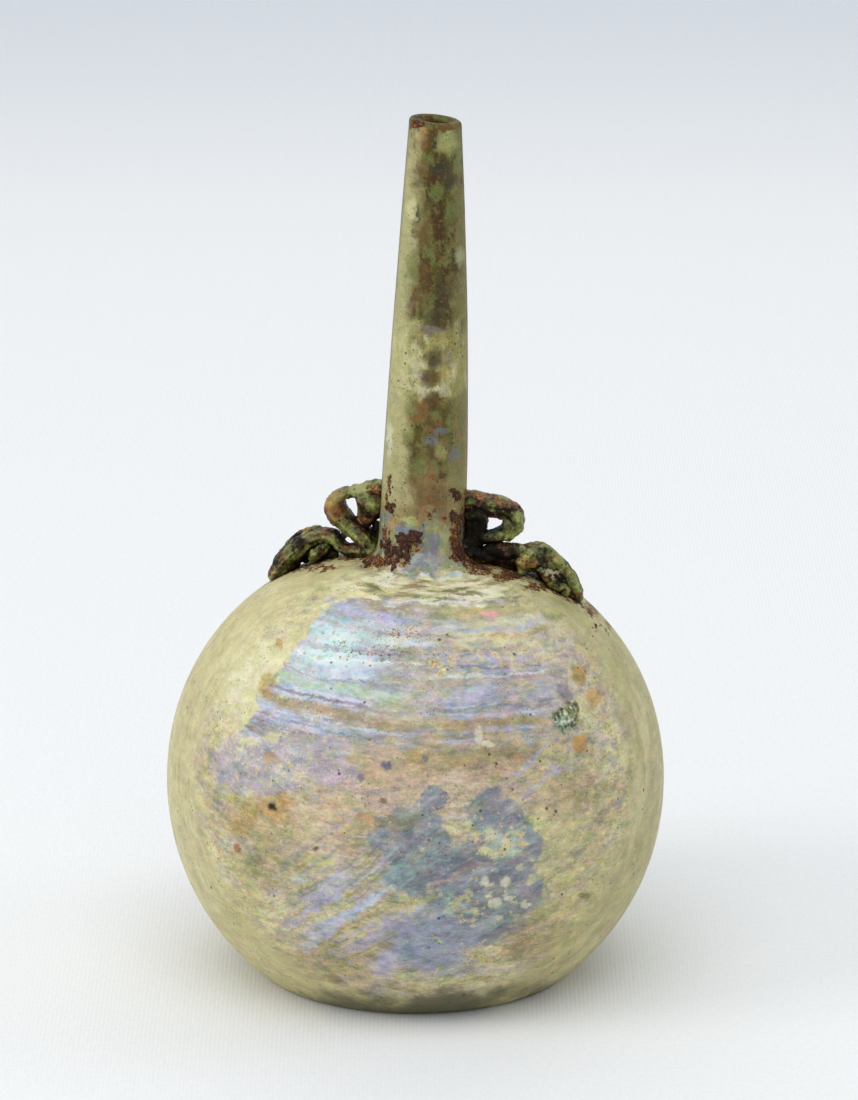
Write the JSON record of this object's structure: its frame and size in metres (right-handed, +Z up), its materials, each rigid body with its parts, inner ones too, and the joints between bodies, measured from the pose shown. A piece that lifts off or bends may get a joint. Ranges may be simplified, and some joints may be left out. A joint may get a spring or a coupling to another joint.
{
  "type": "sprinkler flask",
  "caption": "Free-blown glass sprinkler flask: round body on a pushed-in base, tall tapering neck with a small mouth, looped trail handles on the shoulder, weathered iridescent surface.",
  "frame": {"origin": "middle of the base on the surface that the flask stands on, on the axis of the round body", "axes": "+Z up along the flask, +X towards the right handle, -Y towards the pictured front"},
  "size_m": [0.0998, 0.0998, 0.1744],
  "materials": {
    "weathered_glass": "buff weathering crust with a silky iridescent film, opaque, pitted",
    "dark_green_glass": "dark green glass, weathered, with brown soil in its hollows"
  },
  "bodies": {
    "root": {"flask": "weathered_glass", "handle_left": "dark_green_glass", "handle_right": "dark_green_glass"}
  },
  "joints": []
}
